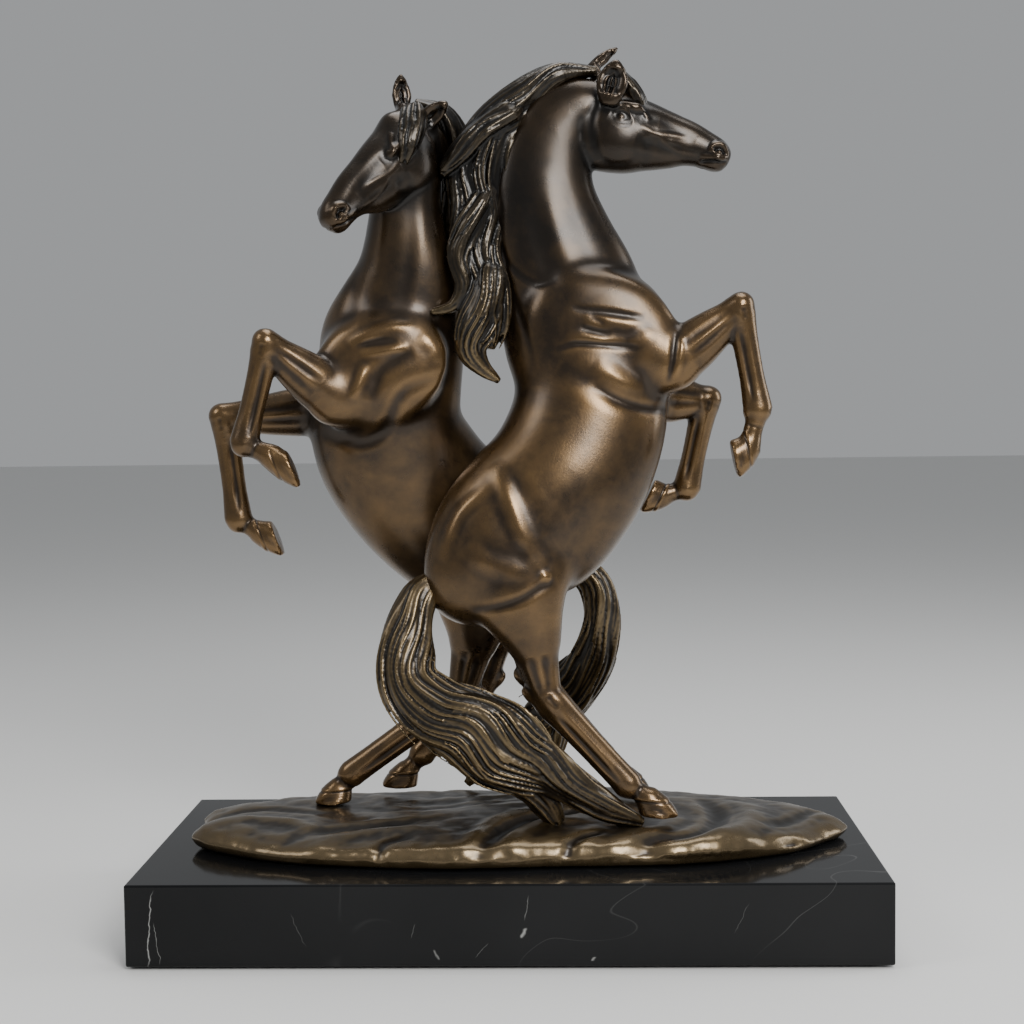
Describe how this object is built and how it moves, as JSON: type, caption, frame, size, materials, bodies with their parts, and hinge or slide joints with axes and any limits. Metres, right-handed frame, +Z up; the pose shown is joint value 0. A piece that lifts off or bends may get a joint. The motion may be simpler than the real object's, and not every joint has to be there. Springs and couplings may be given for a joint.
{
  "type": "bronze horse statuette",
  "caption": "Bronze statuette of rearing horses, back to back with tails sweeping to a rocky bronze ground, on a long black marble plinth.",
  "frame": {"origin": "middle of the footprint, at the bottom of the felt pads", "axes": "+X to the right along the plinth, the way the right horse faces; +Y away from the viewer; +Z up"},
  "size_m": [0.35, 0.17, 0.4317],
  "materials": {
    "bronze": "dark brown patinated bronze, satin to glossy wax, rubbed warmer on the raised places",
    "ground_bronze": "dark brown patinated bronze, satin, chiselled rock texture",
    "black_marble": "polished black marble with a few thin white veins",
    "zinc_steel": "plain zinc-plated steel",
    "green_felt": "dark felt"
  },
  "bodies": {
    "root": {"right_horse_body": "bronze", "right_horse_neck": "bronze", "right_horse_head": "bronze", "right_horse_mane": "bronze", "right_horse_forelock": "bronze", "right_horse_tail": "bronze", "right_horse_near_foreleg": "bronze", "right_horse_far_foreleg": "bronze", "right_horse_near_hind_leg": "bronze", "right_horse_far_hind_leg": "bronze", "left_horse_body": "bronze", "left_horse_neck": "bronze", "left_horse_head": "bronze", "left_horse_mane": "bronze", "left_horse_forelock": "bronze", "left_horse_tail": "bronze", "left_horse_near_foreleg": "bronze", "left_horse_far_foreleg": "bronze", "left_horse_near_hind_leg": "bronze", "left_horse_far_hind_leg": "bronze", "bronze_ground": "ground_bronze", "marble_plinth": "black_marble", "stud_1": "zinc_steel", "washer_1": "zinc_steel", "nut_1": "zinc_steel", "stud_2": "zinc_steel", "washer_2": "zinc_steel", "nut_2": "zinc_steel", "stud_3": "zinc_steel", "washer_3": "zinc_steel", "nut_3": "zinc_steel", "felt_pad_1": "green_felt", "felt_pad_2": "green_felt", "felt_pad_3": "green_felt", "felt_pad_4": "green_felt"}
  },
  "joints": []
}
